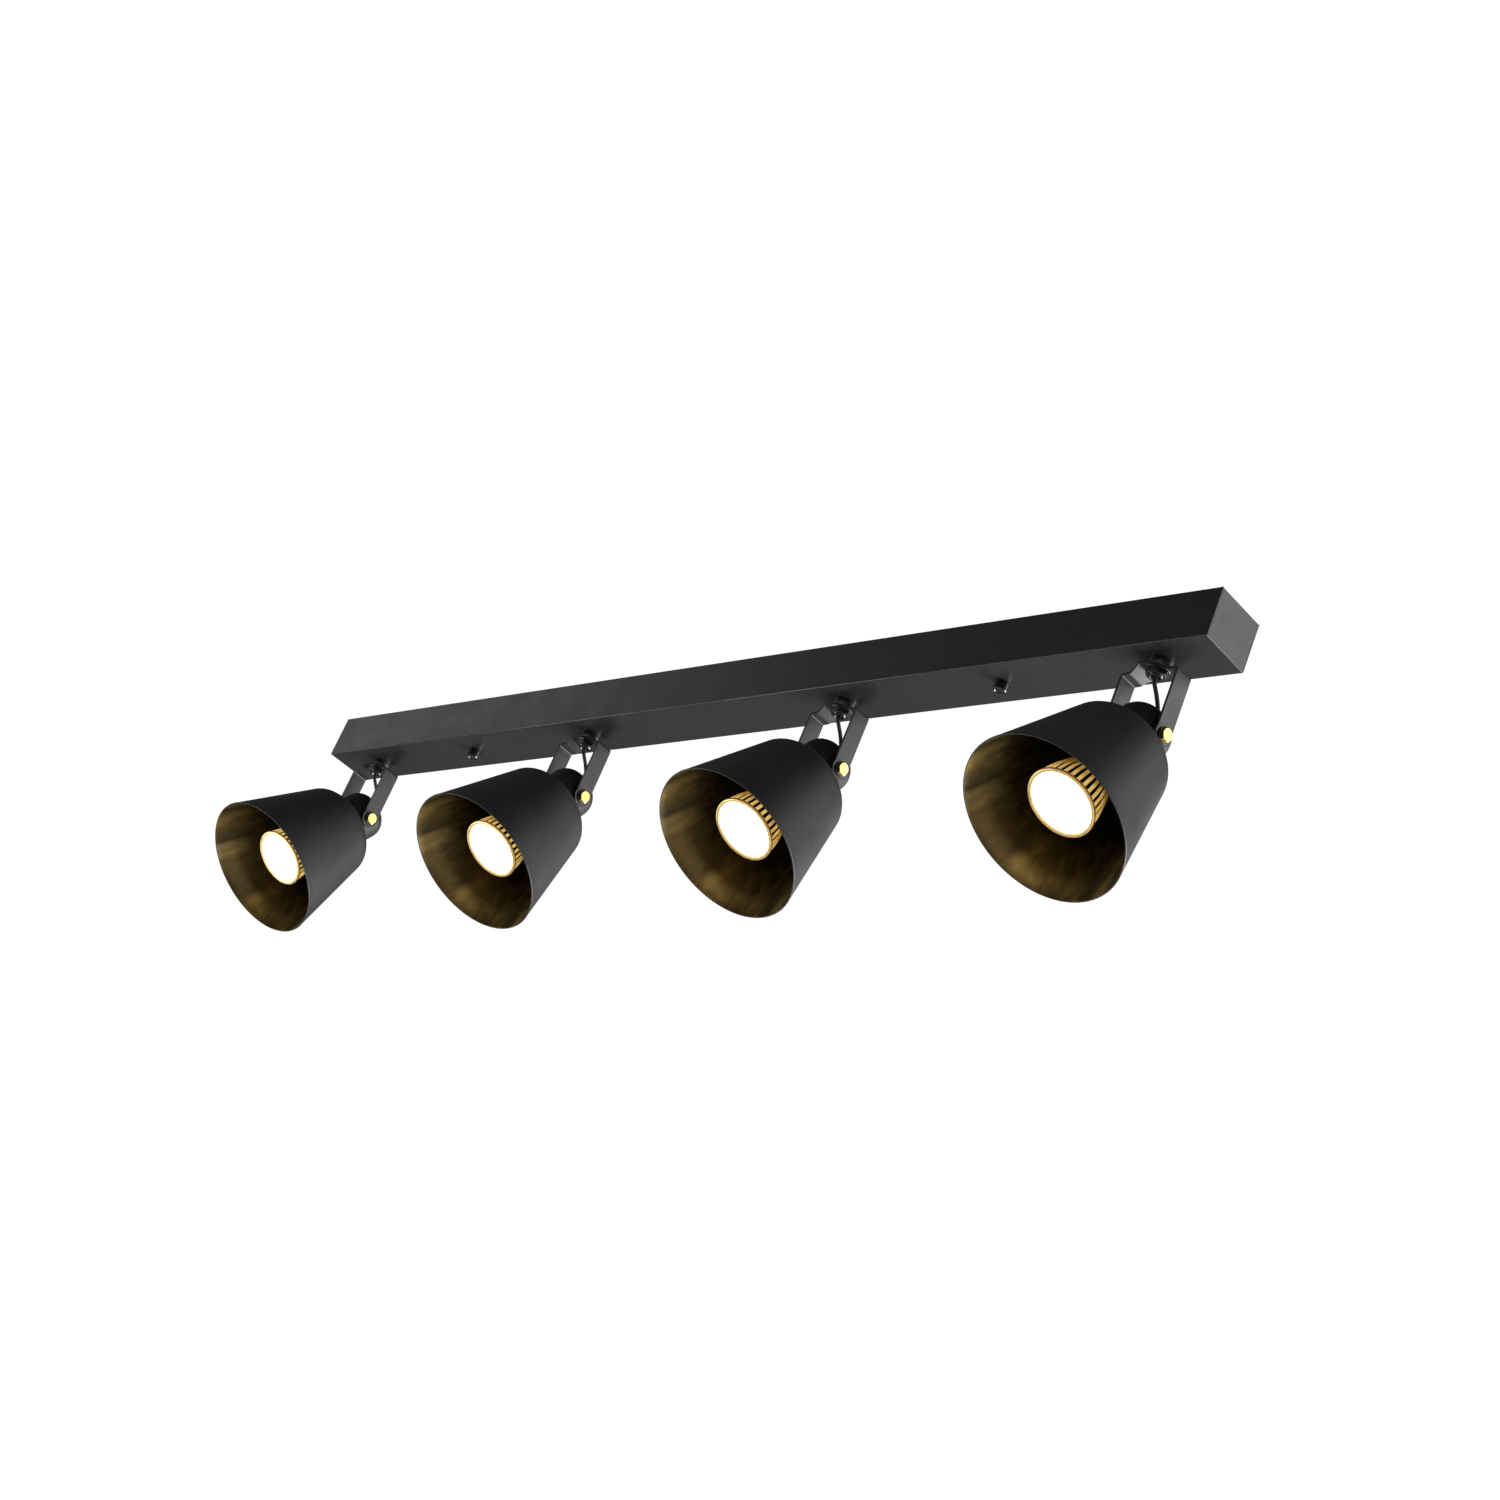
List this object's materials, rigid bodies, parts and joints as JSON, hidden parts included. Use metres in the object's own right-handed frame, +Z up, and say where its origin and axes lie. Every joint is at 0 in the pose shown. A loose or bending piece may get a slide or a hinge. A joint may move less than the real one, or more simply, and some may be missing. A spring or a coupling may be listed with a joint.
{
  "type": "ceiling spotlight bar",
  "caption": "Rectangular black ceiling bar with a row of bell-shaped spotlights, each hung in a strap yoke that swivels and tilts and lit by a recessed reflector-size bulb.",
  "frame": {"origin": "centre of the face that rests on the ceiling, in the middle of the bar", "axes": "+X along the bar to the right seen from the front, -Y towards the front, +Z up into the ceiling"},
  "size_m": [0.994, 0.135, 0.22],
  "materials": {
    "bar_black": "satin powder coat",
    "zinc_steel": "zinc plated",
    "black_steel": "satin black",
    "cap_black": "gloss black",
    "block_white": "moulded",
    "brass": "polished",
    "lead_black": "smooth sheath",
    "wire_green": "green sheath",
    "yoke_black": "satin powder coat",
    "shade_black": "matt powder coat",
    "neck_black": "matt powder coat",
    "washer_black": "nylon",
    "ceramic": "unglazed steatite",
    "heatsink": "die cast, matt",
    "lens": "frosted, lit",
    "base_white": "moulded",
    "grommet_black": "moulded"
  },
  "bodies": {
    "root": {"housing": "bar_black", "mounting_strip": "zinc_steel", "mounting_studs": "zinc_steel", "stud_lock_nuts": "zinc_steel", "cap_nuts": "cap_black", "threaded_nipples": "black_steel", "nipple_lock_nuts": "zinc_steel", "swivel_spacers": "black_steel", "swivel_washers": "black_steel", "swivel_nuts": "black_steel", "terminal_block": "block_white", "terminal_screws": "brass", "block_screw": "zinc_steel", "earth_screw": "brass", "internal_leads": "lead_black", "earth_wire": "wire_green"},
    "yoke_body_1": {"yoke_1": "yoke_black", "lead_1": "lead_black"},
    "head_1": {"shade_1": "shade_black", "neck_cup_1": "neck_black", "tilt_screws_1": "brass", "pivot_washers_1": "washer_black", "lampholder_1": "ceramic", "bulb_heatsink_1": "heatsink", "bulb_lens_1": "lens", "bulb_base_1": "base_white", "lead_grommet_1": "grommet_black"},
    "yoke_body_2": {"yoke_2": "yoke_black", "lead_2": "lead_black"},
    "head_2": {"shade_2": "shade_black", "neck_cup_2": "neck_black", "tilt_screws_2": "brass", "pivot_washers_2": "washer_black", "lampholder_2": "ceramic", "bulb_heatsink_2": "heatsink", "bulb_lens_2": "lens", "bulb_base_2": "base_white", "lead_grommet_2": "grommet_black"},
    "yoke_body_3": {"yoke_3": "yoke_black", "lead_3": "lead_black"},
    "head_3": {"shade_3": "shade_black", "neck_cup_3": "neck_black", "tilt_screws_3": "brass", "pivot_washers_3": "washer_black", "lampholder_3": "ceramic", "bulb_heatsink_3": "heatsink", "bulb_lens_3": "lens", "bulb_base_3": "base_white", "lead_grommet_3": "grommet_black"},
    "yoke_body_4": {"yoke_4": "yoke_black", "lead_4": "lead_black"},
    "head_4": {"shade_4": "shade_black", "neck_cup_4": "neck_black", "tilt_screws_4": "brass", "pivot_washers_4": "washer_black", "lampholder_4": "ceramic", "bulb_heatsink_4": "heatsink", "bulb_lens_4": "lens", "bulb_base_4": "base_white", "lead_grommet_4": "grommet_black"}
  },
  "joints": [
    {"name": "swivel_1", "type": "hinge", "parent": "root", "child": "yoke_body_1", "pos_m": [-0.438, 0, -0.0431], "axis": [0, 0, 1], "range_deg": [-177, 173]},
    {"name": "tilt_1", "type": "hinge", "parent": "yoke_body_1", "child": "head_1", "pos_m": [-0.438, 0, -0.098], "axis": [-0.9994, -0.0349, 0], "range_deg": [-120, 50], "deforming": ["lead_1"]},
    {"name": "swivel_2", "type": "hinge", "parent": "root", "child": "yoke_body_2", "pos_m": [-0.146, 0, -0.0431], "axis": [0, 0, 1], "range_deg": [-178, 172]},
    {"name": "tilt_2", "type": "hinge", "parent": "yoke_body_2", "child": "head_2", "pos_m": [-0.146, 0, -0.098], "axis": [-0.9986, -0.0523, 0], "range_deg": [-114.5, 55.5], "deforming": ["lead_2"]},
    {"name": "swivel_3", "type": "hinge", "parent": "root", "child": "yoke_body_3", "pos_m": [0.146, 0, -0.0431], "axis": [0, 0, 1], "range_deg": [-175, 175]},
    {"name": "tilt_3", "type": "hinge", "parent": "yoke_body_3", "child": "head_3", "pos_m": [0.146, 0, -0.098], "axis": [-1, 0, 0], "range_deg": [-113.5, 56.5], "deforming": ["lead_3"]},
    {"name": "swivel_4", "type": "hinge", "parent": "root", "child": "yoke_body_4", "pos_m": [0.438, 0, -0.0431], "axis": [0, 0, 1], "range_deg": [-174, 176]},
    {"name": "tilt_4", "type": "hinge", "parent": "yoke_body_4", "child": "head_4", "pos_m": [0.438, 0, -0.098], "axis": [-0.9998, 0.0175, 0], "range_deg": [-113.5, 56.5], "deforming": ["lead_4"]}
  ]
}
